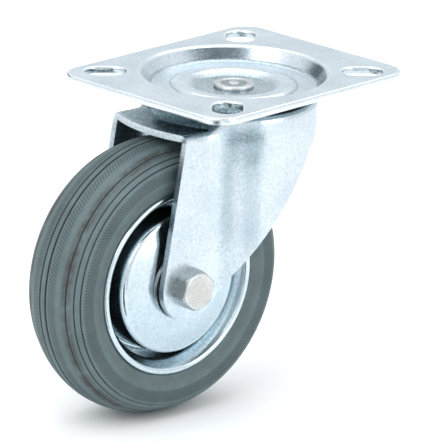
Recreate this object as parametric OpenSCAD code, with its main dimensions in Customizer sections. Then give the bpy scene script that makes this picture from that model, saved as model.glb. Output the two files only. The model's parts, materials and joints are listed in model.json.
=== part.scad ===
// Swivel wheel for a gate: a top plate, a double ball race, a pressed fork and a rubber-tyred steel
// wheel that trails behind the kingpin.
// Frame: origin at the centre of the plate's mounting face, +Z out of that face, X along the plate.

/* [Top plate] */
// Length of the plate along X
plate_length = 96; // [80:1:120]
// Width of the plate along Y
plate_width = 81; // [75:1:100]
// Thickness of the plate
plate_thickness = 2.5; // [2:0.1:4]
// Corner radius of the plate
plate_corner = 9; // [4:0.5:14]
// Distance between slot centres along X
slot_spacing_x = 68; // [64:0.5:72]
// Distance between slot centres along Y
slot_spacing_y = 60; // [58:0.5:64]
// Width of each slot
slot_width = 10.5; // [8:0.1:11]
// Length of each slot, end to end
slot_length = 14.5; // [12:0.1:15]
// Depth of the pressed recess in the middle of the plate
recess_depth = 4.9; // [4.5:0.1:5.2]

/* [Swivel race] */
// Diameter of the race balls
ball_diameter = 5; // [4.8:0.1:5]
// Pitch radius of the upper row of balls
upper_pitch = 18.5; // [18:0.1:19]
// Number of balls in the upper row
upper_balls = 20; // [12:1:21]
// Pitch radius of the lower row of balls
lower_pitch = 12.8; // [12.6:0.1:13]
// Number of balls in the lower row
lower_balls = 14; // [8:1:15]
// Radius of the kingpin's shank
kingpin_radius = 6; // [5:0.1:7]

/* [Fork] */
// Horizontal distance from the kingpin to the axle
trail = 35.5; // [33:0.5:38]
// Depth of the axle below the mounting face
axle_depth = 68; // [67:0.5:75]
// Angle at which the fork is set about the kingpin
rest_swivel = -5; // [-45:1:45]
// Thickness of the fork's sheet
fork_sheet = 2.4; // [2:0.1:3]
// Distance from the wheel's middle plane to the outside of each leg
leg_half = 20; // [19.5:0.1:21]
// Radius of the round bottom of each leg
leg_end = 12; // [10:0.5:14]
// Outer radius of the fork's round crown
crown_radius = 30; // [29:0.5:32]
// Radius of the flare between a flat leg and the crown
flare_radius = 20; // [16:1:24]

/* [Wheel] */
// Outer diameter of the tyre
wheel_diameter = 100; // [96:1:102]
// Width of the tyre
tyre_width = 30; // [28:1:30]
// Radius of the rim's flange
flange_radius = 33.3; // [32.5:0.1:34]
// Radius of the rim's central dome
dome_radius = 25.4; // [24.5:0.1:26]
// Thickness of the rim's sheet
rim_sheet = 1.3; // [1:0.1:1.4]

/* [Axle] */
// Nominal diameter of the axle bolt
bolt_diameter = 8; // [8:1:8]
// Outer diameter of the axle sleeve
sleeve_diameter = 12; // [11:0.5:12]
// Diameter of each bearing roller
roller_diameter = 3; // [2.5:0.1:3]
// Number of bearing rollers
roller_count = 10; // [6:1:12]

/* [Hidden] */
$fn = 96;

cut = 1;                    // how far a cutter runs past the surface that it cuts
arc_steps = 8;              // straight pieces in each rounded corner of a profile
running_gap = 0.05;         // radial clearance of a running fit
race_gap = 0.08;            // clearance between a ball and each of its tracks

// Race heights, from the plate down
ball_radius = ball_diameter / 2;
track_radius = ball_radius + 0.3;
track_steps = 12;           // straight pieces in each ball track
plate_underside = -recess_depth - plate_thickness;
pit_top = -recess_depth - 0.7;
recess_mouth = 33.2;        // radius at which the recess starts to go down
recess_floor = 29.4;        // radius at which it reaches its flat floor
recess_bend = 2.4;
ridge_foot = 22.4;          // ring that is pressed up round the kingpin
ridge_outer = 20.4;
ridge_inner = 16.9;
ridge_height = 0.9;
pit_radius = 13.2;
small_bend = 1.2;
upper_ball_z = -8.9;
crown_top = plate_underside - 0.8;
hub_top = -10.6;
hub_underside = hub_top - fork_sheet;
crown_hole = 9.4;
lower_ball_z = hub_underside + 0.5 - ball_radius - race_gap;
cup_top = lower_ball_z - 1.52;
cup_bottom = lower_ball_z - 4.32;
cup_radius = 17.2;
kingpin_head_radius = 7.2;
kingpin_head_top = -4;
kingpin_foot_radius = 9.5;
kingpin_bottom = cup_bottom - 2.8;

// Fork levels and outline
shelf_top = -12.6;
lip_x = -37.8;
lip_bow = 4;
leg_inner = leg_half - fork_sheet;
skirt_bottom = -17;
bolt_radius = bolt_diameter / 2;
bolt_hole = bolt_radius + 0.25;

// Axle and hub
sleeve_radius = sleeve_diameter / 2;
sleeve_bore = bolt_radius + 0.1;
roller_radius = roller_diameter / 2;
roller_pitch = sleeve_radius + running_gap + roller_radius;
hub_bore = sleeve_radius + roller_diameter + 2 * running_gap;
hub_radius = hub_bore + 2;
hub_half = 15.9;
hub_collar = 0.7;
washer_thickness = 0.8;
roller_half = 12;
cage_gap = 0.35;            // clearance between the cage or the end rings and the parts that turn
ring_inner = sleeve_radius + cage_gap;
hex_turn = 17;             // how far the bolt head stands turned about its axis
head_flats = 13;
head_height = 5.3;
nut_height = 6.5;
insert_height = 2;
spring_washer_thickness = 2;
spring_washer_radius = 6.6;
nut_turn = 14;              // how far the nut stands turned about its axis
nut_neck = 5.9;             // radius of the round neck that holds the nut's plastic ring
insert_radius = 5.2;
neck_lip = 0.4;             // how far the neck is rolled over the plastic ring
neck_mouth = 4.6;
washer_radius = 9.5;
rolled_end_radius = 12.4;   // radius of the tube's rolled-over ends
wheel_radius = wheel_diameter / 2;
tyre_half = tyre_width / 2;
lip_back = 12.6;
lip_back_radius = 31.95;
seat_radius = 28.3;

zinc = [0.80, 0.85, 0.88];
steel = [0.62, 0.64, 0.66];
rubber = [0.44, 0.49, 0.50];
nylon = [0.85, 0.85, 0.80];

// ---- profile helpers ----

function unit(v) = v / norm(v);
function turn(a) = a > 180 ? a - 360 : a < -180 ? a + 360 : a;
function polar(o, r, a) = o + r * [cos(a), sin(a)];

// Points of an arc about o from angle a to angle b
function arc(o, r, a, b, steps = arc_steps) = [for (i = [0:steps]) polar(o, r, a + (b - a) * i / steps)];

// Corner b between a and c, rounded to radius r
function rounded_corner(a, b, c, r) =
    let (u = unit(a - b), v = unit(c - b), half = acos(u * v) / 2,
         o = b + unit(u + v) * r / sin(half),
         p = b + u * r / tan(half) - o, q = b + v * r / tan(half) - o,
         start = atan2(p.y, p.x), sweep = turn(atan2(q.y, q.x) - start))
    arc(o, r, start, start + sweep);

// A line through [x, y, corner radius] entries, rounded where the radius is not zero
function rounded(nodes) = [
    for (i = [0:len(nodes) - 1])
        let (n = nodes[i], here = [n.x, n.y])
        each (n.z == 0 ? [here]
            : rounded_corner([nodes[i - 1].x, nodes[i - 1].y], here, [nodes[i + 1].x, nodes[i + 1].y], n.z))
];
function reversed(list) = [for (i = [len(list) - 1:-1:0]) list[i]];

// Ball track: the part of a circle about (pitch, centre_z) that lies past the level z
function track(pitch, centre_z, level) =
    let (reach = acos(abs(level - centre_z) / track_radius), middle = level > centre_z ? 90 : -90,
         side = level > centre_z ? 1 : -1)
    arc([pitch, centre_z], track_radius, middle - side * reach, middle + side * reach, track_steps);

// ---- placement helpers ----

module at_fork() { rotate([0, 0, rest_swivel]) children(); }
module at_axle() { at_fork() translate([-trail, 0, -axle_depth]) rotate([90, 0, 0]) children(); }
module ring(outer, inner, height) {
    difference() {
        cylinder(r = outer, h = height, center = true);
        cylinder(r = inner, h = height + 2 * cut, center = true);
    }
}
module mirrored_pair() { children(); mirror([0, 1, 0]) children(); }

// ---- plate body ----

module plate_outline() {
    reach = [plate_length / 2 - plate_corner, plate_width / 2 - plate_corner];
    square([plate_length - 2 * plate_corner, plate_width], center = true);
    square([plate_length, plate_width - 2 * plate_corner], center = true);
    for (sx = [-1, 1], sy = [-1, 1]) translate([sx * reach.x, sy * reach.y]) circle(r = plate_corner);
}

module slot() {
    run = (slot_length - slot_width) / 2;
    square([2 * run, slot_width], center = true);
    for (s = [-1, 1]) translate([s * run, 0]) circle(d = slot_width);
}

// Half section of the pressed middle of the plate
module dish_profile() {
    rim = recess_mouth + 3.8;
    top = rounded([
        [rim, 0, 0], [recess_mouth, 0, recess_bend], [recess_floor, -recess_depth, recess_bend],
        [ridge_foot, -recess_depth, small_bend], [ridge_outer, ridge_height - recess_depth, small_bend],
        [ridge_inner, ridge_height - recess_depth, small_bend], [pit_radius, pit_top, small_bend],
        [kingpin_radius, pit_top, 0]]);
    pit_outside = 13;
    track_outside = 24;
    wall_foot = 30.2;
    wall_head = 32.2;
    track_centre = upper_ball_z + ball_radius + race_gap - track_radius;
    bottom = concat(
        [[kingpin_radius, pit_top - plate_thickness], [pit_outside, pit_top - plate_thickness]],
        reversed(track(upper_pitch, track_centre, plate_underside)),
        rounded([[track_outside, plate_underside, 0], [wall_foot, plate_underside, recess_bend],
                 [wall_head, -plate_thickness, small_bend], [rim, -plate_thickness, 0]]));
    polygon(concat(top, bottom));
}

module top_plate() {
    slot_angle = atan2(slot_spacing_y, slot_spacing_x);
    color(zinc) difference() {
        union() {
            difference() {
                translate([0, 0, -plate_thickness]) linear_extrude(plate_thickness) plate_outline();
                translate([0, 0, -plate_thickness - cut]) cylinder(r = recess_mouth + 2.8, h = plate_thickness + 2 * cut);
            }
            rotate_extrude() dish_profile();
        }
        for (sx = [-1, 1], sy = [-1, 1])
            translate([sx * slot_spacing_x / 2, sy * slot_spacing_y / 2, -plate_thickness - cut])
                rotate([0, 0, sx * sy * slot_angle]) linear_extrude(plate_thickness + 2 * cut) slot();
    }
}

// Riveted pin that clamps the plate and the lower race together
module kingpin() {
    head_round = 0.6;
    groove_outer = 4.9;
    groove_inner = 2;
    groove_slope = 0.4;
    groove_floor = kingpin_head_top - 0.5;
    color(steel) rotate_extrude() polygon(concat(
        rounded([[0, kingpin_bottom, 0], [kingpin_foot_radius, kingpin_bottom, head_round],
                 [kingpin_foot_radius, cup_bottom, 0]]),
        [[kingpin_radius, cup_bottom], [kingpin_radius, pit_top]],
        rounded([[kingpin_head_radius, pit_top, 0], [kingpin_head_radius, kingpin_head_top, head_round],
                 [groove_outer, kingpin_head_top, 0], [groove_outer - groove_slope, groove_floor, 0],
                 [groove_inner + groove_slope, groove_floor, 0], [groove_inner, kingpin_head_top, 0],
                 [0, kingpin_head_top, 0]])));
}

module lower_race_cup() {
    rim_top = hub_underside - 1.9;
    wall = 1.4;
    corner = 1.8;
    track_centre = lower_ball_z - ball_radius - race_gap + track_radius;
    color(zinc) rotate_extrude() polygon(concat(
        rounded([[kingpin_radius, cup_bottom, 0], [cup_radius, cup_bottom, corner],
                 [cup_radius, rim_top, 0]]),
        [[cup_radius - wall, rim_top], [cup_radius - wall, cup_top]],
        track(lower_pitch, track_centre, cup_top),
        [[kingpin_radius, cup_top]]));
}

module ball_row(pitch, count, z) {
    for (i = [0:count - 1]) rotate([0, 0, 360 * i / count]) translate([pitch, 0, z]) sphere(r = ball_radius);
}

module upper_ball_row() { color(steel) ball_row(upper_pitch, upper_balls, upper_ball_z); }
module lower_ball_row() { color(steel) ball_row(lower_pitch, lower_balls, lower_ball_z); }

// ---- fork body ----

// Region inside the fork's wall, measured at a distance inset from its outer face
module fork_plan(inset, front) {
    half = leg_half - inset;
    round_r = crown_radius - inset;
    blend = flare_radius + inset;
    blend_y = half + blend;
    blend_x = -sqrt(pow(round_r + blend, 2) - pow(blend_y, 2));
    meet = [blend_x, -blend_y] * round_r / (round_r + blend);
    circle(r = round_r);
    translate([front, -half]) square([-front, 2 * half]);
    mirrored_pair() difference() {
        polygon([[blend_x, -half + cut], [blend_x, -blend_y], meet, [meet.x, -half + cut]]);
        translate([blend_x, -blend_y]) circle(r = blend);
    }
}

// Side outline of the fork below the shelf: front edge, round leg end, rear edge and skirt
module fork_side() {
    axle = [-trail, -axle_depth];
    back = crown_radius + 2;
    front_tangent = -190;
    rear_tangent = -37;
    rear_knee = [13.9, -22.2];
    knee_bend = 14;
    leg_steps = 20;
    rear_foot = polar(axle, leg_end, rear_tangent);
    polygon(concat(
        [[lip_x, shelf_top], [back, shelf_top]],
        rounded([[back, skirt_bottom, 0], [rear_knee.x, rear_knee.y, knee_bend],
                 [rear_foot.x, rear_foot.y, 0]]),
        arc(axle, leg_end, rear_tangent, front_tangent, leg_steps)));
}

// Flat shelf over the wheel, from a bowed front lip back to the crown
module shelf_outline() {
    bow_radius = (leg_half * leg_half + lip_bow * lip_bow) / (2 * lip_bow);
    difference() {
        union() {
            intersection() {
                fork_plan(0, lip_x);
                translate([lip_x, -crown_radius]) square([-lip_x - 15, 2 * crown_radius]);
            }
            intersection() {
                translate([lip_x - lip_bow - cut, -leg_half]) square([lip_bow + 2 * cut, 2 * leg_half]);
                translate([lip_x - lip_bow + bow_radius, 0]) circle(r = bow_radius);
            }
        }
        circle(r = crown_radius - fork_sheet);
    }
}

// Half section of the fork's round crown with both ball tracks, down to the shelf's level
module crown_profile() {
    upper_centre = upper_ball_z - ball_radius - race_gap + track_radius;
    lower_centre = lower_ball_z + ball_radius + race_gap - track_radius;
    bulge = upper_ball_z - ball_radius - race_gap - fork_sheet;
    skirt_inner = crown_radius - fork_sheet;
    race_edge = 22;
    step_foot = 24.4;
    bulge_inner = 15.4;
    crown_bend = 3;
    track_start = -137;
    track_end = -12;
    polygon(concat(
        [[crown_hole, hub_top]],
        arc([upper_pitch, upper_centre], track_radius, track_start, track_end, track_steps),
        rounded([[race_edge, crown_top, 0], [crown_radius, crown_top, crown_bend],
                 [crown_radius, shelf_top, 0]]),
        rounded([[skirt_inner, shelf_top, 0], [skirt_inner, crown_top - fork_sheet, small_bend],
                 [step_foot, crown_top - fork_sheet, small_bend], [race_edge, bulge, small_bend],
                 [bulge_inner, bulge, 0]]),
        [[bulge_inner - 0.4, hub_underside]],
        track(lower_pitch, lower_centre, hub_underside),
        [[crown_hole, hub_underside]]));
}

module swivel_fork() {
    leg_bottom = -axle_depth - leg_end - cut;
    open_front = -60;           // past the legs' front edges, which the side outline cuts
    color(zinc) at_fork() difference() {
        union() {
            rotate_extrude() crown_profile();
            // legs, flares and rear skirt
            intersection() {
                translate([0, 0, leg_bottom]) linear_extrude(shelf_top - leg_bottom)
                    difference() { fork_plan(0, open_front); fork_plan(fork_sheet, open_front - cut); }
                rotate([90, 0, 0]) linear_extrude(3 * crown_radius, center = true) fork_side();
            }
            translate([0, 0, shelf_top - fork_sheet]) linear_extrude(fork_sheet) shelf_outline();
        }
        translate([-trail, 0, -axle_depth]) rotate([90, 0, 0])
            cylinder(r = bolt_hole, h = 3 * leg_half, center = true);
    }
}

// ---- axle, clamped in the fork; its local +Z points out of the right leg ----

module chamfered_hex(height, chamfer) {
    corner = head_flats / sqrt(3);
    slope = 1.7;
    intersection() {
        cylinder(r = corner, h = height, $fn = 6);
        rotate_extrude() polygon([[0, -cut], [corner + cut, -cut], [corner + cut, height - chamfer - cut / 2],
            [corner, height - chamfer], [corner - slope * chamfer, height], [0, height]]);
    }
}

module axle_bolt() {
    stick_out = 1.5;
    tip_chamfer = 0.8;
    head_chamfer = 0.6;
    tip = leg_half + spring_washer_thickness + nut_height + insert_height + stick_out;
    color(steel) at_axle() {
        translate([0, 0, leg_half]) rotate([0, 0, hex_turn]) chamfered_hex(head_height, head_chamfer);
        translate([0, 0, -tip]) rotate_extrude() polygon([[0, 0], [bolt_radius - tip_chamfer, 0],
            [bolt_radius, tip_chamfer], [bolt_radius, tip + leg_half], [0, tip + leg_half]]);
    }
}

module axle_sleeve() { color(steel) at_axle() ring(sleeve_radius, sleeve_bore, 2 * leg_inner); }

module spring_washer() {
    middle = leg_half + spring_washer_thickness / 2;
    split_slope = 20;
    split = [spring_washer_radius + 3, 1, 3 * spring_washer_thickness];
    color(steel) at_axle() translate([0, 0, -middle]) difference() {
        ring(spring_washer_radius, sleeve_bore, spring_washer_thickness);
        rotate([0, split_slope, 0]) translate([0, -split.y / 2, -split.z / 2]) cube(split);
    }
}

module axle_nut() {
    full = nut_height + insert_height;
    chamfer = 0.5;
    color(steel) at_axle() translate([0, 0, -leg_half - spring_washer_thickness]) mirror([0, 0, 1]) difference() {
        union() {
            rotate([0, 0, nut_turn]) chamfered_hex(nut_height, chamfer);
            cylinder(r = nut_neck, h = full);
        }
        translate([0, 0, -cut]) cylinder(r = bolt_radius, h = full + 2 * cut);
        translate([0, 0, nut_height]) cylinder(r = insert_radius, h = insert_height - neck_lip);
        translate([0, 0, nut_height]) cylinder(r = neck_mouth, h = insert_height + cut);
    }
}

module nut_insert() {
    height = insert_height - neck_lip;
    middle = leg_half + spring_washer_thickness + nut_height + height / 2;
    color(nylon) at_axle() translate([0, 0, -middle]) ring(insert_radius, bolt_radius, height);
}

module hub_washer(side) {
    color(steel) at_axle() translate([0, 0, side * (leg_inner - washer_thickness / 2)])
        ring(washer_radius, sleeve_radius, washer_thickness);
}
module hub_washer_left() { hub_washer(-1); }
module hub_washer_right() { hub_washer(1); }

// ---- wheel body ----

// Half section of the tyre on one side of its middle plane, as [radius, distance from the plane]
function tyre_half_section() =
    let (crown = 20, edge = 28.4, bead = flange_radius + 0.2,
         shoulder = [wheel_radius - 2.4, tyre_half - 5.5, 0],
         corner = [wheel_radius - 3.9, tyre_half - 2.7, 3.5],
         side = [wheel_radius - 7, tyre_half, 3],
         waist = [wheel_radius - 11.4, tyre_half - 0.1, 6],
         foot = [bead + 1.5, tyre_half - 1.5, 4],
         bead_edge = [bead, tyre_half - 1.7, 0])
    concat(
        arc([wheel_radius - crown, 0], crown, 0, edge, arc_steps),
        rounded([shoulder, corner, side, waist, foot, bead_edge]),
        [[bead, lip_back], [lip_back_radius, lip_back], [seat_radius, 0]]);

module tyre() {
    half = tyre_half_section();
    groove = [1, 0.8];
    groove_place = 1.5;
    color(rubber) at_axle() difference() {
        rotate_extrude() polygon(concat(half, [for (p = reversed(half)) [p.x, -p.y]]));
        for (s = [-1, 1]) translate([0, 0, s * groove_place])
            ring(wheel_radius + cut, wheel_radius - groove.y, groove.x);
    }
}

// Pressed disc on one side: rolled flange, deep channel and shallow dome
module rim_disc(side) {
    flange_face = 14.2;
    mouth = flange_radius - 2.7;
    floor_outer = 27;
    floor_inner = dome_radius + 0.6;
    foot_inner = dome_radius - 0.4;
    dome_edge = 14;
    dome_middle = [18, 15.6];
    dome_sweep = 24;
    edge_bend = 2;
    flange_bend = 0.9;
    tight_bend = 0.4;
    outer = rounded([
        [flange_radius, lip_back, 0], [flange_radius, flange_face, flange_bend],
        [mouth, flange_face, flange_bend], [floor_outer, rim_sheet, tight_bend],
        [floor_inner, rim_sheet, tight_bend], [dome_radius, dome_edge, edge_bend],
        [dome_middle.x, dome_middle.y, dome_sweep], [hub_radius, hub_half, 0]]);
    inner = rounded([
        [hub_radius, hub_half - rim_sheet, 0], [dome_middle.x, dome_middle.y - rim_sheet, dome_sweep],
        [dome_radius - rim_sheet, dome_edge - rim_sheet, flange_bend], [foot_inner, 0, flange_bend],
        [seat_radius, 0, 0], [lip_back_radius, lip_back, 0]]);
    color(zinc) at_axle() mirror([0, 0, side > 0 ? 0 : 1]) rotate_extrude() polygon(concat(outer, inner));
}
module rim_disc_left() { rim_disc(-1); }
module rim_disc_right() { rim_disc(1); }

// Tube that carries the bearing, with its ends rolled over the two discs
module hub_tube() {
    color(steel) at_axle() difference() {
        union() {
            cylinder(r = hub_radius, h = 2 * hub_half, center = true);
            for (s = [-1, 1]) translate([0, 0, s * (hub_half + hub_collar / 2)])
                cylinder(r = rolled_end_radius, h = hub_collar, center = true);
        }
        cylinder(r = hub_bore, h = 3 * hub_half, center = true);
    }
}

module bearing_ring(side) {
    width = 1.8;
    stand_out = 0.1;
    color(steel) at_axle() translate([0, 0, side * (hub_half + stand_out - width / 2)])
        ring(hub_bore, ring_inner, width);
}
module bearing_ring_left() { bearing_ring(-1); }
module bearing_ring_right() { bearing_ring(1); }

// ---- bearing cage body ----

module at_rollers() {
    for (i = [0:roller_count - 1]) rotate([0, 0, 360 * i / roller_count]) translate([roller_pitch, 0, 0]) children();
}

module roller_cage() {
    pocket_gap = 0.2;
    end_wall = 1.6;
    color(nylon) at_axle() difference() {
        ring(hub_bore - cage_gap, sleeve_radius + cage_gap, 2 * (roller_half + end_wall));
        at_rollers() cylinder(r = roller_radius + pocket_gap, h = 2 * (roller_half + pocket_gap), center = true);
    }
}

module rollers() {
    color(steel) at_axle() at_rollers() cylinder(r = roller_radius, h = 2 * roller_half, center = true);
}

top_plate();
kingpin();
lower_race_cup();
upper_ball_row();
lower_ball_row();
swivel_fork();
axle_bolt();
axle_sleeve();
axle_nut();
nut_insert();
spring_washer();
hub_washer_left();
hub_washer_right();
tyre();
rim_disc_left();
rim_disc_right();
hub_tube();
bearing_ring_left();
bearing_ring_right();
roller_cage();
rollers();
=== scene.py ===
"""Looks of a swivel wheel for a gate: pressed zinc-plated plate and fork, steel discs, grey rubber tyre.

Shapes are built in millimetres in each part's own frame and scaled to metres.
"""

import json
from functools import partial
from math import acos, atan2, ceil, cos, degrees, hypot, pi, radians, sin, sqrt, tan

import bmesh
import bpy
from mathutils import Matrix, Vector

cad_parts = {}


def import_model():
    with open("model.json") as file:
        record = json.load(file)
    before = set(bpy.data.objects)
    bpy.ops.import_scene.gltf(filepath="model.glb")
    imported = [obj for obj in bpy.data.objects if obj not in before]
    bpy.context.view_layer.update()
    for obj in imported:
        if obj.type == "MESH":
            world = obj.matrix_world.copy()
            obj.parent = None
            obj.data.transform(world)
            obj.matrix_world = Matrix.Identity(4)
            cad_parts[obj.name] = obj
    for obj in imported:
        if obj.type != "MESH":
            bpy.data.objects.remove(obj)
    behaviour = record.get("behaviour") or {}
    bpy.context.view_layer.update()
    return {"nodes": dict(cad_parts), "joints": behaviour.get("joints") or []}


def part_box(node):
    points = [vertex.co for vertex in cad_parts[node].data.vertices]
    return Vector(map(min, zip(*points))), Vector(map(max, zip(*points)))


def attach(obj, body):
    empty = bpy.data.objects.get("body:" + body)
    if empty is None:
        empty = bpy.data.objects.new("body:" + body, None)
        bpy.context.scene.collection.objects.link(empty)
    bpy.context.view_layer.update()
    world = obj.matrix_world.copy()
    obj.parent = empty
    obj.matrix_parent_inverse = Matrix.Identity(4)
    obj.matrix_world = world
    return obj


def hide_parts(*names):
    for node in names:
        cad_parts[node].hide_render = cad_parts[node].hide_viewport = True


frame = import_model()

MM = 0.001
TAU = 2 * pi
ON_AXIS = 1e-6              # a radius below this is a point on the axis

# ---- places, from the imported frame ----

spin = next(j for j in frame["joints"] if j["name"] == "wheel_spin")
axle = Vector(spin["pos_m"])
turn = atan2(-spin["axis"][0], spin["axis"][1])     # how far the fork is turned about Z at rest
AT_FORK = Matrix.Rotation(turn, 4, "Z")
AT_AXLE = AT_FORK @ Matrix.Translation((-hypot(axle.x, axle.y), 0, axle.z)) @ Matrix.Rotation(pi / 2, 4, "X")
HERE = Matrix.Identity(4)

plate_low, plate_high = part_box("top_plate")
tyre_low, tyre_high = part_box("tyre")
PLATE = (plate_high - plate_low) / MM / 2           # half the plate's size
TRAIL = hypot(axle.x, axle.y) / MM
DEPTH = -axle.z / MM
WHEEL = (tyre_high.z - tyre_low.z) / MM / 2
FLOOR = tyre_low.z


def unit(x):
    """x kept between 0 and 1."""
    return max(0, min(1, x))


# ---- profiles ----


def corner(a, b, c, r, steps):
    """Corner b between a and c, rounded to radius r."""
    u, v = (a - b).normalized(), (c - b).normalized()
    half = acos(max(-1, min(1, u.dot(v)))) / 2
    o = b + (u + v).normalized() * (r / sin(half))
    p, q = b + u * (r / tan(half)) - o, b + v * (r / tan(half)) - o
    start = atan2(p.y, p.x)
    sweep = (atan2(q.y, q.x) - start + pi) % TAU - pi
    angles = [start + sweep * i / steps for i in range(steps + 1)]
    return [o + r * Vector((cos(t), sin(t))) for t in angles]


def rounded(nodes, steps=7):
    """A line through (x, y) or (x, y, corner radius) entries."""
    at = [Vector(n[:2]) for n in nodes]
    out = []
    for i, n in enumerate(nodes):
        if len(n) == 2:
            out.append(at[i])
        else:
            out += corner(at[i - 1], at[i], at[i + 1], n[2], steps)
    return out


def arc(o, r, a, b, steps):
    """Points of an arc about o, from angle a to angle b in degrees."""
    angles = [radians(a + (b - a) * i / steps) for i in range(steps + 1)]
    return [Vector((o[0] + r * cos(t), o[1] + r * sin(t))) for t in angles]


def braced(line, near=0.25, long=1.2):
    """The line with points added close to both ends of each long straight, so that it shades flat."""
    out = [line[0]]
    for a, b in zip(line, line[1:]):
        length = (b - a).length
        if length > long:
            out += [a.lerp(b, near / length), a.lerp(b, 1 - near / length)]
        out.append(b)
    return out


def at_x(line, x):
    """Height of a line of points with rising x."""
    for a, b in zip(line, line[1:]):
        if x <= b.x:
            return a.y + (b.y - a.y) * max(0, (x - a.x)) / max(1e-9, b.x - a.x)
    return line[-1].y


# ---- meshes ----


def strip(bm, a, b):
    """Faces between two closed rings of vertices. A ring of one vertex is a point on the axis."""
    count = max(len(a), len(b))
    for k in range(count):
        m = (k + 1) % count
        loop = list(dict.fromkeys([a[k % len(a)], a[m % len(a)], b[m % len(b)], b[k % len(b)]]))
        if len(loop) > 2:
            bm.faces.new(loop)


def lathe(section, count, closed=True, relief=None):
    """A section of (radius, height) points turned about Z. relief(i, angle) gives how far point i is sunk."""
    bm = bmesh.new()
    depth = bm.verts.layers.float.new("relief")
    n = len(section)
    rings = []
    for i, p in enumerate(section):
        if p.x < ON_AXIS:
            rings.append([bm.verts.new((0, 0, p.y))])
            continue
        before = section[(i - 1) % n] if closed else section[max(0, i - 1)]
        after = section[(i + 1) % n] if closed else section[min(n - 1, i + 1)]
        along = (after - before).normalized()
        ring = []
        for k in range(count):
            t = TAU * k / count
            sunk = relief(i, t) if relief else 0
            r, z = p.x - sunk * along.y, p.y + sunk * along.x
            v = bm.verts.new((r * cos(t), r * sin(t), z))
            v[depth] = sunk
            ring.append(v)
        rings.append(ring)
    for a, b in zip(rings, rings[1:] + rings[:1] if closed else rings[1:]):
        strip(bm, a, b)
    bmesh.ops.recalc_face_normals(bm, faces=bm.faces)
    return bm


def joined(*parts):
    """One mesh from several, each with its own placement."""
    out = bmesh.new()
    for part, place in parts:
        part.transform(place)
        mesh = bpy.data.meshes.new("part")
        part.to_mesh(mesh)
        part.free()
        out.from_mesh(mesh)
        bpy.data.meshes.remove(mesh)
    return out


def piece(name, bm, place, material, body, slot, *stands_for, sharp=40, bevel=0):
    """Makes the mesh an object at a place, on a body, with its material and instead of its CAD nodes. The
    slot argument is not used.
    """
    # painted highlight: how sharply the mesh bends outwards at each vertex, which the materials turn into
    # lighter colour
    edge_highlight = bm.verts.layers.float.new("edge_highlight")
    for v in bm.verts:
        bends = (e.calc_face_angle_signed(0) for e in v.link_edges if len(e.link_faces) == 2)
        v[edge_highlight] = unit(2 * max(bends, default=0))
    mesh = bpy.data.meshes.new(name)
    bm.to_mesh(mesh)
    bm.free()
    mesh.transform(place.to_3x3().to_4x4() @ Matrix.Scale(MM, 4))
    mesh.polygons.foreach_set("use_smooth", [True] * len(mesh.polygons))
    if sharp:
        mesh.set_sharp_from_angle(angle=radians(sharp))
    mesh.materials.append(material)
    ob = bpy.data.objects.new(name, mesh)
    bpy.context.scene.collection.objects.link(ob)
    ob.location = place.translation
    if bevel:
        mod = ob.modifiers.new("edges", "BEVEL")
        mod.width = bevel * MM
        mod.segments = 3
        mod.limit_method = "ANGLE"
        mod.angle_limit = radians(sharp)
        mod.harden_normals = True
    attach(ob, body)
    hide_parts(*stands_for)
    return ob


# ---- materials ----


class Nodes:
    """A material's node tree around one Principled shader."""

    def __init__(self, name, colour, metallic, roughness, **sockets):
        self.material = bpy.data.materials.new(name)
        self.material.use_nodes = True
        self.tree = self.material.node_tree
        self.shader = self.tree.nodes["Principled BSDF"]
        self.set("Base Color", (*colour, 1))
        self.set("Metallic", metallic)
        self.set("Roughness", roughness)
        for socket, value in sockets.items():
            self.set(socket.replace("_", " "), value)
        self.where = self.tree.nodes.new("ShaderNodeTexCoord").outputs["Object"]

    def set(self, socket, value):
        self.shader.inputs[socket].default_value = value

    def drive(self, socket, out):
        """Feeds a socket of the shader."""
        self.tree.links.new(out, self.shader.inputs[socket])

    def feed(self, socket, v):
        """Links an output to a node's socket, or gives the socket a number or a colour."""
        if hasattr(v, "is_linked"):
            self.tree.links.new(v, socket)
        else:
            socket.default_value = (*v, 1) if hasattr(v, "__len__") else v

    def node(self, kind, **inputs):
        n = self.tree.nodes.new(kind)
        for k, v in inputs.items():
            self.feed(n.inputs[k.replace("_", " ")], v)
        return n

    def scaled(self, x, y, z):
        m = self.node("ShaderNodeMapping", Vector=self.where)
        m.inputs["Scale"].default_value = (x, y, z)
        return m.outputs["Vector"]

    def noise(self, scale, detail=4, rough=0.55, vector=None):
        return self.node("ShaderNodeTexNoise", Vector=vector or self.where, Scale=scale, Detail=detail,
                         Roughness=rough).outputs["Fac"]

    def ramp(self, fac, *stops):
        """stops are (position, value or colour)."""
        n = self.node("ShaderNodeValToRGB", Fac=fac)
        band = n.color_ramp
        while len(band.elements) < len(stops):
            band.elements.new(0.5)
        for e, (at, v) in zip(band.elements, stops):
            e.position = at
            e.color = (*v, 1) if hasattr(v, "__len__") else (v, v, v, 1)
        return n.outputs["Color"]

    def math(self, op, a, b=0.0, c=0.0):
        n = self.tree.nodes.new("ShaderNodeMath")
        n.operation = op
        for socket, v in zip(n.inputs, (a, b, c)):
            self.feed(socket, v)
        return n.outputs[0]

    def mix(self, fac, a, b):
        """Colour a turning into colour b. A mix node's colour sockets are 6, 7 and 2."""
        n = self.tree.nodes.new("ShaderNodeMix")
        n.data_type = "RGBA"
        for socket, v in ((n.inputs[0], fac), (n.inputs[6], a), (n.inputs[7], b)):
            self.feed(socket, v)
        return n.outputs[2]

    def bump(self, height, strength, distance):
        n = self.node("ShaderNodeBump", Height=height, Strength=strength, Distance=distance * MM)
        self.drive("Normal", n.outputs["Normal"])

    def painted(self, layer):
        """A value that the mesh holds for each vertex, or 0."""
        n = self.tree.nodes.new("ShaderNodeAttribute")
        n.attribute_name = layer
        return n.outputs["Fac"]


SHADE_TONE = (0.105, 0.18, 0.195)      # tone of the painted shade in recesses, under-sides and dark patches


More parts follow.
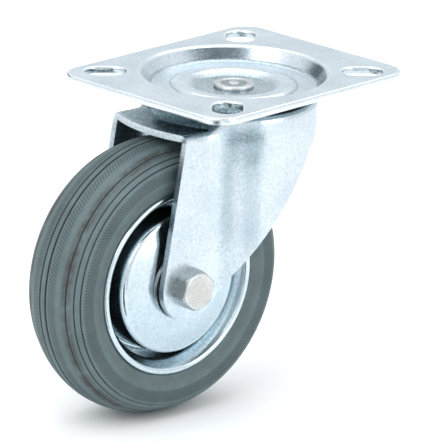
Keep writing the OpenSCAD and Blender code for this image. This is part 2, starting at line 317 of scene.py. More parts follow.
def zinc(name, pale, deep, roughness, streak):
    """Zinc plate: cloudy blue-white tone, fine crystals, drawing streaks, a painted highlight on convex edges
    and grainy painted shade where the mesh holds it.

    The smaller streak is, the longer the streaks are along Z.
    """
    m = Nodes(name, pale, 1.0, roughness)
    cloud = m.noise(55, 5, 0.6)
    grain = m.noise(1150, 4, 0.75)
    lines = m.noise(700, 3, 0.6, m.scaled(1.0, 1.0, streak))
    tone = m.ramp(cloud, (0.3, deep), (0.62, pale))
    tone = m.mix(m.ramp(grain, (0.42, 0.0), (0.72, 0.5)), tone, tuple(0.45 * c for c in deep))
    # painted highlight: lighter colour on convex edges
    tone = m.mix(m.math("MULTIPLY", m.painted("edge_highlight"), 0.6), tone, (0.93, 0.96, 0.98))
    speckle = m.ramp(grain, (0.4, 0.55), (0.6, 1.0))
    # painted shade, broken up by the grain, where the mesh holds it
    tone = m.mix(m.math("MULTIPLY", m.math("MULTIPLY", m.painted("painted_shade"), 0.9), speckle), tone, SHADE_TONE)
    m.drive("Base Color", tone)
    rough = m.math("MULTIPLY_ADD", cloud, 0.12, roughness - 0.08)
    m.drive("Roughness", m.math("MULTIPLY_ADD", lines, 0.08, rough))
    m.bump(m.math("ADD", grain, m.math("MULTIPLY", lines, 0.6)), 0.3, 0.04)
    return m.material


def steel(name, pale, deep, roughness, turned=0.0):
    """Bare steel with a fine finish. turned is the scale of its turning marks."""
    m = Nodes(name, pale, 1.0, roughness)
    cloud = m.noise(180, 4, 0.6)
    grain = m.noise(3000, 3, 0.65)
    tone = m.mix(m.ramp(grain, (0.4, 0.0), (0.75, 0.35)), m.ramp(cloud, (0.3, deep), (0.7, pale)), deep)
    # painted highlight: lighter colour on convex edges
    tone = m.mix(m.math("MULTIPLY", m.painted("edge_highlight"), 0.5), tone, (0.9, 0.9, 0.9))
    # painted shade where the mesh holds it
    m.drive("Base Color", m.mix(m.painted("painted_shade"), tone, SHADE_TONE))
    m.drive("Roughness", m.math("MULTIPLY_ADD", grain, 0.18, roughness - 0.09))
    height = grain
    if turned:
        height = m.math("ADD", grain, m.noise(turned, 2, 0.5, m.scaled(1.0, 1.0, 14.0)))
    m.bump(height, 0.3, 0.02)
    return m.material


def nylon_material():
    """Natural nylon, a little translucent and cloudy."""
    m = Nodes("nylon_natural", (0.78, 0.77, 0.7), 0.0, 0.45, Subsurface_Weight=0.15, Subsurface_Scale=0.001)
    cloud = m.noise(300, 4, 0.6)
    m.drive("Base Color", m.ramp(cloud, (0.3, (0.68, 0.66, 0.58)), (0.7, (0.82, 0.81, 0.75))))
    m.drive("Roughness", m.math("MULTIPLY_ADD", cloud, 0.2, 0.35))
    m.bump(m.noise(2200, 3), 0.2, 0.03)
    return m.material


def rubber_material():
    """Moulded grey rubber: mottled, with painted shade in its grooves and brown handling marks round the
    shoulder.
    """
    m = Nodes("grey_rubber", (0.11, 0.148, 0.153), 0.0, 0.62, Specular_IOR_Level=0.35)
    level = m.node("ShaderNodeMapping", Vector=m.where)
    level.inputs["Rotation"].default_value = (0, 0, -turn)
    x, across, z = m.node("ShaderNodeSeparateXYZ", Vector=level.outputs["Vector"]).outputs
    radius = m.math("SQRT", m.math("ADD", m.math("MULTIPLY", x, x), m.math("MULTIPLY", z, z)))
    side = m.math("ABSOLUTE", across)
    mottle = m.noise(70, 6, 0.65)
    speck = m.noise(1500, 3, 0.7)
    tone = m.ramp(mottle, (0.3, (0.082, 0.116, 0.12)), (0.7, (0.132, 0.184, 0.193)))
    tone = m.mix(m.ramp(speck, (0.5, 0.0), (0.8, 0.35)), tone, (0.18, 0.22, 0.23))

    def band(value, middle, half):
        """1 at the middle of a band, falling to 0 at its sides."""
        off = m.math("ABSOLUTE", m.math("SUBTRACT", value, middle * MM))
        return m.math("MAXIMUM", m.math("SUBTRACT", 1.0, m.math("DIVIDE", off, half * MM)), 0.0)

    stain = m.ramp(m.noise(130, 5, 0.7), (0.34, 0.0), (0.6, 1.0))
    shoulder = m.math("MULTIPLY", m.math("MINIMUM", m.math("MULTIPLY", band(side, 9.6, 2.2), 2.0), 1.0),
                      m.ramp(radius, (0.0448, 0.0), (0.0465, 1.0)))
    tone = m.mix(m.math("MULTIPLY", m.math("MULTIPLY", shoulder, stain), 0.85), tone, (0.05, 0.045, 0.04))
    bead = m.math("MULTIPLY", band(radius, 35.5, 3.0), stain)
    tone = m.mix(m.math("MULTIPLY", bead, 0.45), tone, (0.075, 0.068, 0.058))
    # painted shade in the moulded grooves and between the ribs, by how deep each point is sunk
    sunk = m.ramp(m.painted("relief"), (0.02, 0.0), (0.24, 0.62), (0.42, 1.0))
    m.drive("Base Color", m.mix(sunk, tone, (0.022, 0.027, 0.028)))
    m.drive("Roughness", m.math("MULTIPLY_ADD", mottle, 0.25, 0.48))
    m.bump(m.math("ADD", speck, m.math("MULTIPLY", mottle, 0.6)), 0.3, 0.05)
    return m.material


SHEET = zinc("zinc_sheet", (0.70, 0.775, 0.82), (0.58, 0.66, 0.715), 0.25, 0.08)
DISC = zinc("zinc_disc", (0.66, 0.74, 0.78), (0.56, 0.65, 0.69), 0.14, 1.0)
FASTENER = zinc("zinc_fastener", (0.72, 0.70, 0.67), (0.56, 0.54, 0.51), 0.3, 1.0)
BRIGHT = steel("bright_steel", (0.66, 0.68, 0.70), (0.45, 0.46, 0.47), 0.28, turned=900)
BEARING = steel("bearing_steel", (0.70, 0.71, 0.73), (0.55, 0.56, 0.58), 0.14)
RUBBER = rubber_material()
NYLON = nylon_material()

# ---- top plate ----

PLATE_Z = -2.5              # underside of the plate round the dish
CORNER = 9
EDGE = [(0.6, PLATE_Z), (0.25, PLATE_Z), (0.0, -2.25), (0.0, -0.75), (0.05, -0.45), (0.22, -0.18),
        (0.48, -0.04), (0.8, 0.0), (1.1, 0.0)]      # (inset, height) of each cut edge, from below to the top
SLOT_AT = (34, 30)
SLOT_RUN = 2.0              # from a slot's middle to the centre of each of its ends
SLOT_R = 5.25
SHADED_SLOT = (-1, -1)       # the slot over the fork's front, which is dark inside in the photo; its cut walls get the most painted shade

DISH_RIM = 37
DISH_Z, RING_Z, PIT_Z, HUB_Z, RACE_Z = -4.9, -4.0, -5.6, -8.1, -7.4
PIN_HOLE = 6.1
TRACK = 2.8                 # radius of each ball track's section
TRACK_R = 18.5              # from the kingpin to the upper balls
SHADED_CORNERS = (29.6, 22.4, 13.4)      # radii of the corners of the pressing, which get thin lines of painted shade

DISH_TOP = braced(rounded([
    (DISH_RIM, 0), (33.2, 0, 2.4), (29.4, DISH_Z, 2.2), (22.4, DISH_Z, 1.5), (20.4, RING_Z, 1.2),
    (16.9, RING_Z, 1.2), (13.2, PIT_Z, 1.2), (PIN_HOLE, PIT_Z)]))
DISH_UNDER = [Vector((PIN_HOLE, HUB_Z)), Vector((13, HUB_Z))]
DISH_UNDER += reversed(arc((TRACK_R, -9.12), TRACK, 38, 142, 12))
DISH_UNDER += braced(rounded([
    (24, RACE_Z), (30.2, RACE_Z, 2.5), (32.2, PLATE_Z, 1.5), (DISH_RIM, PLATE_Z)]))


def divided(loop, step):
    """The closed loop with its long sides cut into steps."""
    out = []
    for a, b in zip(loop, loop[1:] + loop[:1]):
        n = max(1, ceil(hypot(b[0] - a[0], b[1] - a[1]) / step))
        out += [(a[0] + (b[0] - a[0]) * i / n, a[1] + (b[1] - a[1]) * i / n) for i in range(n)]
    return out


def plate_loop(inset):
    """The plate's outline, moved in from its edge."""
    steps = 14
    hx, hy, r = PLATE.x - CORNER, PLATE.y - CORNER, CORNER - inset
    out = []
    for quarter, (sx, sy) in enumerate(((1, 1), (-1, 1), (-1, -1), (1, -1))):
        angles = [(quarter + i / steps) * pi / 2 for i in range(steps + 1)]
        out += [(sx * hx + r * cos(a), sy * hy + r * sin(a)) for a in angles]
    return divided(out, 4)


def slot_loop(sx, sy, grow):
    """One slot's outline, grown outwards. It runs towards the plate's corner."""
    steps = 16
    r = SLOT_R + grow
    out = []
    for s, back in ((1, 0), (-1, pi)):
        angles = [(i / steps - 0.5) * pi + back for i in range(steps + 1)]
        out += [(s * SLOT_RUN + r * cos(a), r * sin(a)) for a in angles]
    lean = sx * sy * atan2(SLOT_AT[1], SLOT_AT[0])
    c, d = cos(lean), sin(lean)
    return [(sx * SLOT_AT[0] + c * x - d * y, sy * SLOT_AT[1] + d * x + c * y) for x, y in divided(out, 1.5)]


def dish_shade(p):
    """How much painted shade the dish's top gets at a point of its section: thin lines at its corners, the
    pit round the kingpin and a little on its floor.
    """
    if any(abs(p.x - r) < 0.45 for r in SHADED_CORNERS):
        return 0.65
    return 0.7 if p.x < 13.3 else 0.12 * unit((-p.y - 4.3) / 0.5)


def top_plate():
    bm = bmesh.new()
    painted_shade = bm.verts.layers.float.new("painted_shade")

    def ring(points, z):
        return [bm.verts.new((x, y, z)) for x, y in points]

    def paint(vertices, amount):
        for v in vertices:
            v[painted_shade] = amount

    # Painted shade on the cut walls: none on the plate's outer edge, some in each slot, most in the slot over
    # the fork's front.
    loops = [(plate_loop, 0.0)]
    for sx in (-1, 1):
        for sy in (-1, 1):
            loops.append((partial(slot_loop, sx, sy), 1.0 if (sx, sy) == SHADED_SLOT else 0.4))
    tops, unders = [], []
    for loop, edge_shade in loops:
        rings = [ring(loop(inset), z) for inset, z in EDGE]
        paint(rings[2] + rings[3], edge_shade)
        for a, b in zip(rings, rings[1:]):
            strip(bm, a, b)
        unders.append(rings[0])
        tops.append(rings[-1])
    count = 256
    spokes = [(cos(TAU * k / count), sin(TAU * k / count)) for k in range(count)]
    dish = [ring([(p.x * c, p.x * s) for c, s in spokes], p.y) for p in DISH_TOP + DISH_UNDER]
    for a, b in zip(dish, dish[1:]):
        strip(bm, a, b)
    for level in (tops + [dish[0]], unders + [dish[-1]]):
        edges = [bm.edges.get(ends) for loop in level for ends in zip(loop, loop[1:] + loop[:1])]
        bmesh.ops.triangle_fill(bm, use_beauty=True, use_dissolve=False, edges=edges)
    bmesh.ops.recalc_face_normals(bm, faces=bm.faces)
    # Painted shade on the dish: lines at its corners and its pit on top, and most on the underside's outer
    # wall, which shows through the slots.
    amounts = [dish_shade(p) for p in DISH_TOP] + [1.0 if p.x > 26 else 0.3 for p in DISH_UNDER]
    for loop, amount in zip(dish, amounts):
        paint(loop, amount)
    piece("plate_pressing", bm, HERE, SHEET, "plate", "zinc_sheet", "top_plate", sharp=50)


def kingpin():
    """The rivet: a head with a ring pressed into it, and a foot that holds the lower cup."""
    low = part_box("kingpin")[0].z / MM
    head_low = -5.7
    head = braced(rounded([
        (0, -4.0), (1.7, -4.0, 0.3), (2.3, -4.5, 0.25), (4.4, -4.5, 0.25), (5.0, -4.1, 0.3),
        (7.2, -4.25, 0.7), (7.2, head_low)]), 0.15, 0.8)
    foot = braced(rounded([
        (6, head_low), (6, low + 2.8), (9.5, low + 2.8), (9.5, low, 0.8), (0, low)]), 0.3)
    bm = lathe(head + foot, 96, closed=False)
    painted_shade = bm.verts.layers.float.new("painted_shade")
    # Painted shade in the ring pressed into the head, and on the head's lower rim and the foot.
    for v in bm.verts:
        in_ring = v.co.z < -4.4 and hypot(v.co.x, v.co.y) < 4.6
        if v.co.z < -5.3 or in_ring:
            v[painted_shade] = 0.7
    piece("kingpin_rivet", bm, HERE, BRIGHT, "plate", "bright_steel", "kingpin", sharp=45)


top_plate()
kingpin()

# ---- fork ----

SHEET_T = 2.4
LEG = 20                    # half the width over the legs
CROWN = 30                  # outer radius of the wall round the race
FLARE = 20                  # radius of the wall's curve from a leg to the crown
LEG_END = 12
BEND = 2.6                  # outer radius of the bend from the top into the wall
LIP_X, LIP_BOW = -37.8, 4   # front edge of the shelf at the legs, and how far its middle stands out
SHELF_Z, CROWN_Z, SKIRT_Z = -12.6, -8.2, -17
HOLE = 9.4
HUB_TOP, HUB_UNDER = -10.6, -13.0
LOWER_TRACK = (12.8, -15.3)
# radii of the vertices across the crown, close together where the ball tracks bend it
CROWN_RADII = [25.4, 24.2, 23.0, 22.4, 21.9, 21.3, 20.9, 20.3, 19.6, 18.9, 18.5, 18.1, 17.4, 16.8, 16.4,
               15.6, 14.2, 13.6, 12.8, 12.0, 11.4, HOLE]
ROWS = 26                   # steps down a wall
BENDS = 7                   # steps round a bend
LIP_STEPS = 24              # steps along the lip, from leg to leg

flare_y = LEG + FLARE
flare_x = -sqrt((CROWN + FLARE) ** 2 - flare_y ** 2)
meet = (flare_x * CROWN / (CROWN + FLARE), -flare_y * CROWN / (CROWN + FLARE))


def outline(x):
    """Point (x, y) of the right wall's outer face and its inward normal, at a distance x along the fork."""
    if x <= flare_x:
        return Vector((x, -LEG)), Vector((0, 1))
    if x < meet[0]:
        y = -flare_y + sqrt(FLARE ** 2 - (x - flare_x) ** 2)
        return Vector((x, y)), Vector((x - flare_x, y + flare_y)).normalized()
    y = -sqrt(max(0, CROWN ** 2 - x * x))
    return Vector((x, y)), -Vector((x, y)).normalized()


def crown_height():
    """Outer height of the pressed top against the distance from the kingpin."""
    line = rounded([(HOLE, HUB_TOP), (15.6, HUB_TOP)])
    line += arc((TRACK_R, -8.68), TRACK, -137, -12, 16)
    line += rounded([
        (21.9, -8.4), (22.4, CROWN_Z), (28.4, CROWN_Z, 3.2), (31.4, SHELF_Z, 2.2), (60, SHELF_Z)], 10)
    return line


HEIGHT = crown_height()


def roof_z(x, y):
    """Outer height of the pressed top at a place on it."""
    return at_x(HEIGHT, hypot(x, y))


def lip_x(y):
    """The shelf's front edge, which bows out between the legs."""
    return LIP_X - LIP_BOW * (1 - (y / LEG) ** 2)


def fork_columns():
    """(x at the top, point at the bottom) of each wall column, from the leg's front to the rear centre."""
    leg = arc(Vector((-TRAIL, -DEPTH)), LEG_END, 170, 323, 36)
    heel = leg[-1]
    knee = rounded([heel, (13.9, -22.2, 14), (CROWN, SKIRT_Z)], 12)
    rear = []
    for a, b in zip(knee, knee[1:]):
        n = max(1, ceil((b - a).length / 1.6))
        rear += [a.lerp(b, i / n) for i in range(n)]
    # up to x = 25 the columns follow the knee's line, and from there even angles round the crown
    rear = [p for p in rear if p.x <= 25]
    steps = 14
    start = atan2(-sqrt(CROWN ** 2 - rear[-1].x ** 2), rear[-1].x)
    for i in range(1, steps + 1):
        x = CROWN * cos(start * (1 - i / steps))
        rear.append(Vector((x, at_x(knee, x))))
    # the tops run from the front corner back to the crown, keeping pace with the bottoms
    front, middle = -38.4, -26.9
    columns = [(front + (middle - front) * (i / (len(leg) - 1)) ** 1.1, b) for i, b in enumerate(leg)]
    for b in rear[1:]:
        along = (b.x - heel.x) / (CROWN - heel.x)
        columns.append((middle + (CROWN - middle) * along, b))
    return columns


def length_line():
    """Points (x, length along the outline)."""
    out = [Vector((-60, -60)), Vector((flare_x, flare_x))]
    last, total = outline(flare_x)[0], flare_x
    start = atan2(meet[1], meet[0])
    xs = [flare_x + (meet[0] - flare_x) * i / 60 for i in range(1, 61)]
    xs += [CROWN * cos(start - start * i / 400) for i in range(1, 401)]
    for x in xs:
        p = outline(x)[0]
        total += (p - last).length
        out.append(Vector((x, total)))
        last = p
    return out


LENGTH_LINE = length_line()
LENGTH_BACK = [Vector((p.y, p.x)) for p in LENGTH_LINE]


def wall_point(u):
    """Outer point and inward normal at a length along the wall."""
    return outline(at_x(LENGTH_BACK, u))


def roof_path(bm, start, side):
    """Vertices from the end of the bend, across the shelf and the crown, to the hole."""
    r0 = hypot(*start)
    step, inner = 26.6, 26.2        # radii at the step between the shelf and the crown
    lead = step + 6.8 * unit((r0 - step) / 8)
    radii = [r0 + (lead - r0) * i / 5 for i in range(1, 6)]
    radii += [lead + (inner - lead) * i / 10 for i in range(1, 11)] + CROWN_RADII
    return [bm.verts.new((start[0] / r0 * r, side * start[1] / r0 * r, roof_z(r, 0))) for r in radii]


def fork_path(bm, x_top, bottom, side, front):
    """Vertices of one column: up the wall, round the bend and over the top to the hole."""
    u_top, u_bottom = at_x(LENGTH_LINE, x_top), at_x(LENGTH_LINE, bottom.x)
    p, n = wall_point(u_top)
    inset = p + n * BEND
    if front:
        inset.x = lip_x(inset.y)
    z_top = roof_z(*inset) - BEND
    wall = []
    for j in range(ROWS + 1):
        f = j / ROWS
        f = f * f * (3 - 2 * f) * 0.35 + f * 0.65       # a little closer together at both ends
        q = wall_point(u_top + (u_bottom - u_top) * f)[0]
        wall.append(bm.verts.new((q.x, side * q.y, z_top + (bottom.y - z_top) * f)))
    bend = []
    for i in range(1, BENDS + 1):
        a = pi / 2 * i / BENDS
        q = p + n * BEND * (1 - cos(a))
        if front:
            q.x = p.x + (inset.x - p.x) * (1 - cos(a))
        bend.append(bm.verts.new((q.x, side * q.y, z_top + BEND * sin(a))))
    return wall[::-1] + bend + roof_path(bm, inset, side)


def outer_fork(bm):
    """The fork's outer face: a wall and half of the top on each side, and the lip between them."""

    def quads(a, b):
        for i in range(len(a) - 1):
            bm.faces.new((a[i], a[i + 1], b[i + 1], b[i]))

    columns = fork_columns()
    right = [fork_path(bm, x, b, 1, k == 0) for k, (x, b) in enumerate(columns)]
    left = [fork_path(bm, x, b, -1, k == 0) for k, (x, b) in enumerate(columns[:-1])]
    at_lip = ROWS + BENDS
    edge_y = right[0][at_lip].co.y
    lips = []
    for i in range(1, LIP_STEPS):
        y = edge_y - 2 * edge_y * i / LIP_STEPS
        x = lip_x(y)
        lips.append([bm.verts.new((x, y, roof_z(x, y)))] + roof_path(bm, (x, y), 1))
    for half in (right, left):
        for a, b in zip(half, half[1:]):
            quads(a, b)
    quads(left[-1], right[-1])
    ends = [right[0][at_lip:]] + lips + [left[0][at_lip:]]
    for a, b in zip(ends, ends[1:]):
        quads(a, b)
    bmesh.ops.recalc_face_normals(bm, faces=bm.faces)
    if sum(f.normal.z * f.calc_area() for f in bm.faces) < 0:
        bmesh.ops.reverse_faces(bm, faces=bm.faces)


def ease_shoulder(bm):
    """Eases the shoulder where the flare, the bend and the step in the top run together."""
    soft = [v for v in bm.verts if -34 < v.co.x < -12 and v.co.z > -24 and hypot(v.co.x, v.co.y) > 25.5
            and not v.is_boundary]
    for _ in range(6):
        bmesh.ops.smooth_vert(bm, verts=soft, factor=0.5, use_axis_x=True, use_axis_y=True, use_axis_z=True)
    bm.normal_update()


def paint_fork(bm, painted_shade):
    """Painted shade on the shelf and the top, and two patches of painted shade and dark reflection on the
    crown's wall, softened at its edges.
    """
    for v in bm.verts:
        x, y, z = v.co
        if v.normal.z > 0.3 and z > -14 and not v.is_boundary:
            v[painted_shade] = 0.85 * unit((x + 41.2) / 2) * unit((19.8 - abs(y)) / 2)
        elif -133 < degrees(atan2(y, x)) < -110 and (-18 < z < -13.5 or -25 < z < -21):
            v[painted_shade] = 0.9 if z > -18 else 0.5
    for _ in range(3):
        for v, near in [(v, [e.other_vert(v)[painted_shade] for e in v.link_edges]) for v in bm.verts]:
            v[painted_shade] = 0.5 * v[painted_shade] + 0.5 * sum(near) / len(near)


def inner_fork(bm, painted_shade):
    """Adds the inner face, with the lower ball track pressed into it, and the edges of the sheet."""
    outer_faces = list(bm.faces)
    rim = [e for e in bm.edges if e.is_boundary]
    inner = {}
    for v in list(bm.verts):
        co = v.co - v.normal * SHEET_T
        r = hypot(v.co.x, v.co.y)
        if r < 16:
            off = r - LOWER_TRACK[0]
            track = LOWER_TRACK[1] + sqrt(TRACK ** 2 - off ** 2) if abs(off) < 1.6 else HUB_UNDER
            co = Vector((v.co.x, v.co.y, max(HUB_UNDER, track)))
        inner[v] = bm.verts.new(co)
        # painted shade over the whole inner face
        inner[v][painted_shade] = 0.6
    for f in outer_faces:
        bm.faces.new([inner[v] for v in reversed(f.verts)])
    for e in rim:
        loop = next(l for l in e.link_faces[0].loops if l.edge == e)
        a, b = loop.vert, loop.link_loop_next.vert
        bm.faces.new((b, a, inner[a], inner[b]))


def fork():
    bm = bmesh.new()
    painted_shade = bm.verts.layers.float.new("painted_shade")
    outer_fork(bm)
    ease_shoulder(bm)
    paint_fork(bm, painted_shade)
    inner_fork(bm, painted_shade)
    piece("fork_pressing", bm, AT_FORK, SHEET, "fork", "zinc_sheet", "swivel_fork", sharp=55, bevel=0.3)


fork()

# ---- axle fasteners; local +Z points out of the right leg ----

FLATS = 13                  # M8 across its flats
BRACE = 0.4                 # how far from a hexagon's edges its flats start
HEAD_H, NUT_H = 5.3, 6.5
NUT_BORE = 4.05
SHANK_R, SHANK_LOW, TIP = 4, -16, -32
PITCH, THREAD_DEPTH = 1.25, 0.62


def hexagon(height, turned, cone, bore=0, dish=0.0, both=False):
    """A hexagon from z = 0 to its height, with a conical chamfer cut across its corners.

    cone is the chamfer's smallest radius as a share of half the flats. both cuts the lower corners too.
    """
    bm = bmesh.new()
    count = 144
    round_r = FLATS / 2 * cone
    far = FLATS / sqrt(3) - 0.2         # its corners are rubbed off a little

    def reach(t):
        return min(FLATS / 2 / cos((t % (pi / 3)) - pi / 6), far)

    def sunk(r):
        return max(0, r - round_r) * tan(radians(30))

    def face_z(r):
        return height - dish * (1 - min(1, r / (0.75 * round_r)) ** 2)

    spokes = [reach(TAU * k / count) for k in range(count)]
    levels = []
    for f in (0, 0.35, 0.7, 0.85, 0.95, 1):
        r = bore + (round_r - bore) * f
        levels.append([(r, face_z(r))] * count)
    for f in (0.5, 1.0):
        edge = [round_r + (s - round_r) * f for s in spokes]
        levels.append([(r, height - sunk(r)) for r in edge])
    foot = [(s, sunk(s) if both else 0.0) for s in spokes]
    levels.append([(r, z - BRACE) for r, z in levels[-1]])
    levels.append([(r, z + BRACE) for r, z in foot])
    levels += [foot, [(round_r, 0.0)] * count, [(bore, 0.0)] * count]
    rings = []
    for level in levels:
        if level[0][0] < ON_AXIS:
            rings.append([bm.verts.new((0, 0, level[0][1]))])
        else:
            angles = [TAU * k / count + turned for k in range(count)]
            rings.append([bm.verts.new((r * cos(t), r * sin(t), z)) for t, (r, z) in zip(angles, level)])
    for a, b in zip(rings, rings[1:] + rings[:1] if bore else rings[1:]):
        strip(bm, a, b)
    bmesh.ops.recalc_face_normals(bm, faces=bm.faces)
    return bm


def bolt():
    """The axle bolt, with its head on the right leg and a thread on its far end."""
    section = [(SHANK_R, LEG), (SHANK_R, SHANK_LOW)]
    section += [(SHANK_R, SHANK_LOW - i * PITCH / 8) for i in range(1, 98)]
    section += [(3.6, TIP + 0.4), (3.2, TIP), (0, TIP)]
    section = [Vector(p) for p in section]

    def thread(i, t):
        """The section runs down, so a cut is negative."""
        p = section[i]
        if p.y > SHANK_LOW - 0.1 or p.x < SHANK_R:
            return 0
        turns = (p.y / PITCH + t / TAU) % 1
        return -THREAD_DEPTH * min(1, abs(turns - 0.5) * 2.4)

    bm = joined((hexagon(HEAD_H, radians(17), 0.94, dish=0.25), Matrix.Translation((0, 0, LEG))),
                (lathe(section, 64, closed=False, relief=thread), HERE))
    painted_shade = bm.verts.layers.float.new("painted_shade")
    # Painted shade on the hexagon's flanks, darkest at their foot against the leg.
    for v in bm.verts:
        if hypot(v.co.x, v.co.y) > 6.2:
            v[painted_shade] = 1.0 if v.co.z < LEG + 0.1 else 0.6
    piece("bolt", bm, AT_AXLE, FASTENER, "fork", "zinc_fastener", "axle_bolt", sharp=30, bevel=0.18)


def lock_nut():
    """The nut on the left leg, with the rolled collar that holds its nylon ring."""
    section = braced(rounded([
        (NUT_BORE, 0), (NUT_BORE, NUT_H), (5.25, NUT_H), (5.25, 8.1), (4.75, 8.15), (4.75, 8.5, 0.1),
        (5.4, 8.5, 0.35), (5.9, 8.0, 0.3), (5.9, 6.2, 0.2), (6.0, 6.0), (6.0, 0)]), 0.15, 0.9)
    collar = [p for p in section if p.y > 6.0]
    bm = joined((hexagon(NUT_H, radians(14), 0.95, bore=NUT_BORE, both=True), HERE),
                (lathe(collar, 96), HERE))
    on_washer = Matrix.Translation((0, 0, -(LEG + 2) * MM))
    place = AT_AXLE @ on_washer @ Matrix.Rotation(pi, 4, "X")
    piece("lock_nut", bm, place, FASTENER, "fork", "zinc_fastener", "axle_nut", sharp=30, bevel=0.15)


bolt()
lock_nut()

# ---- wheel ----

RIBS = 240
TREAD_CURVE = 20
RIM_BED = (31.95, 12.6)     # where the tyre's foot meets the rim discs
BED_R = 28.3                # the discs' radius in the wheel's middle plane
STEP = 0.05                 # between the points of the tyre's even skin

TREAD = arc((WHEEL - TREAD_CURVE, 0), TREAD_CURVE, 0, 28.4, 60)
SIDE = rounded([
    (47.6, 9.5), (46.1, 12.3, 3.5), (43, 15, 3), (38.6, 14.9, 6), (35, 13.5, 4), (33.5, 13.3)], 16)


def evenly(line):
    """Points at even steps along a line."""
    out, carry = [line[0]], 0.0
    for a, b in zip(line, line[1:]):
        length = (b - a).length
        at = STEP - carry
        while at <= length:
            out.append(a.lerp(b, at / length))
            at += STEP
        carry = length - (at - STEP)
    return out


SKIN = evenly(TREAD + SIDE[1:])     # from the tyre's middle plane to the rim


def reach_of(radius):
    """Length along the skin at which the sidewall comes down to a radius."""
    return STEP * next(i for i, p in enumerate(SKIN) if i * STEP > 9 and p.x <= radius)


def skin_stations():
    """(length along the skin, kind, depth) of each point of the tyre's half section."""
    out = [(s, "flat", d) for s, d in ((0.0, 0), (1.0, 0), (1.1, 0.75), (1.9, 0.75), (2.0, 0))]
    out += [(2.3 + 0.62 * i, "tread" if 0 < i < 6 else "flat", 0) for i in range(7)]
    out += [(7.2, "flat", 0), (8.6, "flat", 0)]
    for r in (47.55, 46.0, 44.3):
        s = reach_of(r)
        out += [(s + off, "flat", d) for off, d in ((-0.3, 0), (-0.08, 0.42), (0.08, 0.42), (0.3, 0))]
    first, last = reach_of(43.5), reach_of(38.6)
    out += [(first + (last - first) * i / 7, "side" if 0 < i < 7 else "flat", 0) for i in range(8)]
    end = (len(SKIN) - 1) * STEP
    out += [(last + (end - last) * i / 6, "flat", 0) for i in range(1, 7)]
    return out


def tyre():
    stations = skin_stations()
    half = [SKIN[min(len(SKIN) - 1, round(s / STEP))] for s, _, _ in stations]
    half += [Vector((33.5, RIM_BED[1])), Vector(RIM_BED), Vector((BED_R, 0.0))]
    section = half + [Vector((p.x, -p.y)) for p in reversed(half[1:-1])]
    kinds = stations + [(0, "flat", 0)] * 3
    kinds += reversed(kinds[1:-1])

    def relief(i, t):
        """Depth of the moulded grooves and ribs at a point of the section."""
        _, kind, depth = kinds[i]
        if kind == "flat":
            return depth
        if kind == "side":
            lean, deep = (43.5 - section[i].x) / 41, 0.28
        else:
            lean, deep = 0.55 * abs(section[i].y) / 50, 0.24
        return deep * unit(0.5 + 0.75 * sin(RIBS * (t - lean)))

    bm = lathe(section, 4 * RIBS, relief=relief)
    piece("tyre_moulding", bm, AT_AXLE, RUBBER, "wheel", "grey_rubber", "tyre", sharp=0)


def rim_discs():
    """Two pressed discs with a flange, a deep channel and a domed middle."""
    outer = braced(rounded([
        (33.3, RIM_BED[1]), (33.3, 14.2, 0.9), (31.5, 14.2, 1.4), (28.6, 9.6, 6), (27, 1.3, 0.5),
        (26, 1.3, 0.4), (25.4, 14, 2), (18, 15.6, 24), (11.1, 15.9)]))
    inner = braced(rounded([
        (11.1, 14.6), (18, 14.3, 24), (24.1, 12.7, 0.8), (25, 0, 0.8), (BED_R, 0), RIM_BED]))
    for side, name in ((1, "right"), (-1, "left")):
        section = [Vector((p.x, side * p.y)) for p in outer + inner]
        piece("wheel_disc_" + name, lathe(section, 256), AT_AXLE, DISC, "wheel", "zinc_sheet",
              "rim_disc_" + name, sharp=50)


tyre()
rim_discs()

# ---- finishes of the CAD nodes that stay ----

for node, material in {
    "lower_race_cup": SHEET, "spring_washer": FASTENER, "nut_insert": NYLON, "roller_cage": NYLON,
    "hub_washer_left": FASTENER, "hub_washer_right": FASTENER, "hub_tube": BRIGHT, "axle_sleeve": BRIGHT,
    "upper_ball_row": BEARING, "lower_ball_row": BEARING, "rollers": BEARING,
    "bearing_ring_left": BEARING, "bearing_ring_right": BEARING,
}.items():
    ob = frame["nodes"][node]
    ob.data.materials.clear()
    ob.data.materials.append(material)
    ob.data.polygons.foreach_set("use_smooth", [True] * len(ob.data.polygons))
    ob.data.set_sharp_from_angle(angle=radians(35))

# ---- studio ----

MIDDLE = Vector((-0.015, 0, -0.05))     # what the lamps aim at; its height is the standing cards' centre


def toward(azimuth, elevation):
    """Direction out from the wheel. Azimuth 0 is in front, on -Y."""
    a, e = radians(azimuth), radians(elevation)
    return Vector((sin(a) * cos(e), -cos(a) * cos(e), sin(e)))


def placed(name, data):
    """A new object, linked to the scene."""
    ob = bpy.data.objects.new(name, data)
    bpy.context.scene.collection.objects.link(ob)
    return ob


def card(name, bm, material):
    """A studio object with one material. Its mesh is used up."""
    mesh = bpy.data.meshes.new(name)
    bm.to_mesh(mesh)
    bm.free()
    mesh.materials.append(material)
    return placed(name, mesh)


def floor():
    bm = bmesh.new()
    bmesh.ops.create_circle(bm, cap_ends=True, segments=96, radius=3.0)
    m = Nodes("floor_paint", (0.93, 0.93, 0.93), 0.0, 0.75)
    m.drive("Base Color", m.ramp(m.noise(3), (0.3, 0.92), (0.7, 0.94)))
    ob = card("floor", bm, m.material)
    ob.location.z = FLOOR


def lamp(name, azimuth, elevation, distance, size, watts, colour=(1, 1, 1)):
    """A square softbox aimed at the wheel."""
    data = bpy.data.lights.new(name, "AREA")
    data.shape = "RECTANGLE"
    data.size, data.size_y = size
    data.energy = watts
    data.color = colour
    ob = placed(name, data)
    back = toward(azimuth, elevation)
    ob.location = MIDDLE + back * distance
    ob.rotation_euler = back.to_track_quat("Z", "Y").to_euler()


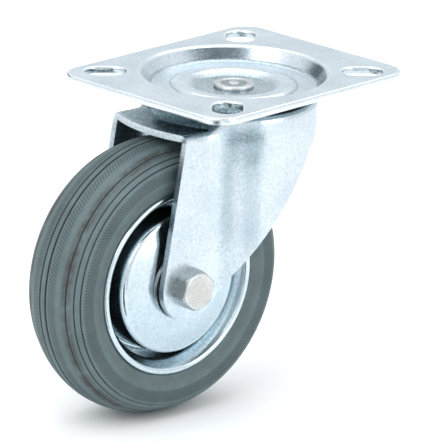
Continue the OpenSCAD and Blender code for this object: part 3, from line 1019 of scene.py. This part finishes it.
def flag(name, azimuths, elevations, distances, tone, glow=0.0):
    """A card that only reflections show, over a range of azimuths.

    It stands over a range of elevations or, without any, lies on the floor between two distances.
    """
    bm = bmesh.new()
    steps = 12
    rows = []
    for i, distance in enumerate(distances):
        row = []
        for k in range(steps + 1):
            azimuth = azimuths[0] + (azimuths[1] - azimuths[0]) * k / steps
            p = toward(azimuth, elevations[i] if elevations else 0) * distance
            p.z = p.z + MIDDLE.z if elevations else FLOOR + 0.004
            row.append(bm.verts.new(p))
        rows.append(row)
    for k in range(steps):
        bm.faces.new((rows[0][k], rows[0][k + 1], rows[1][k + 1], rows[1][k]))
    cloth = Nodes(name + "_cloth", tone, 0.0, 1.0, Specular_IOR_Level=0.0, Emission_Color=(*tone, 1),
                  Emission_Strength=glow)
    ob = card(name, bm, cloth.material)
    for kind in ("camera", "diffuse", "shadow", "transmission", "volume_scatter"):
        setattr(ob, "visible_" + kind, False)


def world():
    """White studio with a darker band near the horizon; the camera sees plain white."""
    w = bpy.data.worlds.new("studio")
    w.use_nodes = True
    tree = w.node_tree
    back = tree.nodes["Background"]
    back.inputs["Strength"].default_value = 1.1
    where = tree.nodes.new("ShaderNodeTexCoord")
    split = tree.nodes.new("ShaderNodeSeparateXYZ")
    band = tree.nodes.new("ShaderNodeValToRGB")
    low, high = band.color_ramp.elements
    low.position, low.color = 0.0, (0.75, 0.80, 0.83, 1)
    high.position, high.color = 0.6, (0.95, 0.97, 1.0, 1)
    plain = tree.nodes.new("ShaderNodeBackground")
    plain.inputs["Color"].default_value = (1, 1, 1, 1)
    path = tree.nodes.new("ShaderNodeLightPath")
    mix = tree.nodes.new("ShaderNodeMixShader")
    tree.links.new(where.outputs["Generated"], split.inputs[0])
    tree.links.new(split.outputs["Z"], band.inputs["Fac"])
    tree.links.new(band.outputs["Color"], back.inputs["Color"])
    tree.links.new(path.outputs["Is Camera Ray"], mix.inputs["Fac"])
    tree.links.new(back.outputs[0], mix.inputs[1])
    tree.links.new(plain.outputs[0], mix.inputs[2])
    tree.links.new(mix.outputs[0], tree.nodes["World Output"].inputs["Surface"])
    bpy.context.scene.world = w


def camera():
    """The camera at the photo's angle, a little rolled, with its aim fitted to the photo."""
    azimuth, roll, distance = -45.906, radians(1.341), 1.77345
    back = toward(azimuth, 17.896)
    level = Vector((cos(radians(azimuth)), sin(radians(azimuth)), 0))
    upright = back.cross(level)
    right = cos(roll) * level + sin(roll) * upright
    up = cos(roll) * upright - sin(roll) * level
    aim = Vector((-0.014943, 0.001307, -0.055)) + 0.00484 * right + 0.002217 * up
    data = bpy.data.cameras.new("camera")
    data.lens = 408.5
    data.sensor_width = 36
    data.clip_start, data.clip_end = 0.05, 20
    ob = placed("camera", data)
    pose = Matrix((right, up, back)).transposed().to_4x4()
    pose.translation = aim + back * distance
    ob.matrix_world = pose
    bpy.context.scene.camera = ob


floor()
flag("near_card", (0, 360), None, (0.02, 0.13), (0.72, 0.78, 0.81), glow=0.3)
flag("dome_flag", (-72, -48), None, (0.1, 0.9), (0.05, 0.08, 0.085))
flag("front_flag", (-32, -10), None, (0.2, 0.9), (0.5, 0.58, 0.61))
flag("camera_flag", (-80, 40), (51, 70), (0.9, 0.9), (0.025, 0.065, 0.08))
flag("rear_flag", (162, 205), (6, 28), (0.9, 0.9), (0.05, 0.07, 0.08))
lamp("key", -85, 48, 0.9, (0.7, 0.7), 3.2)
lamp("fill", 8, 18, 1.0, (0.5, 0.9), 2.1, (0.93, 0.97, 1.0))
lamp("top", 120, 66, 0.9, (0.8, 0.8), 2.2)
world()
camera()
bpy.context.scene.view_settings.view_transform = "Standard"
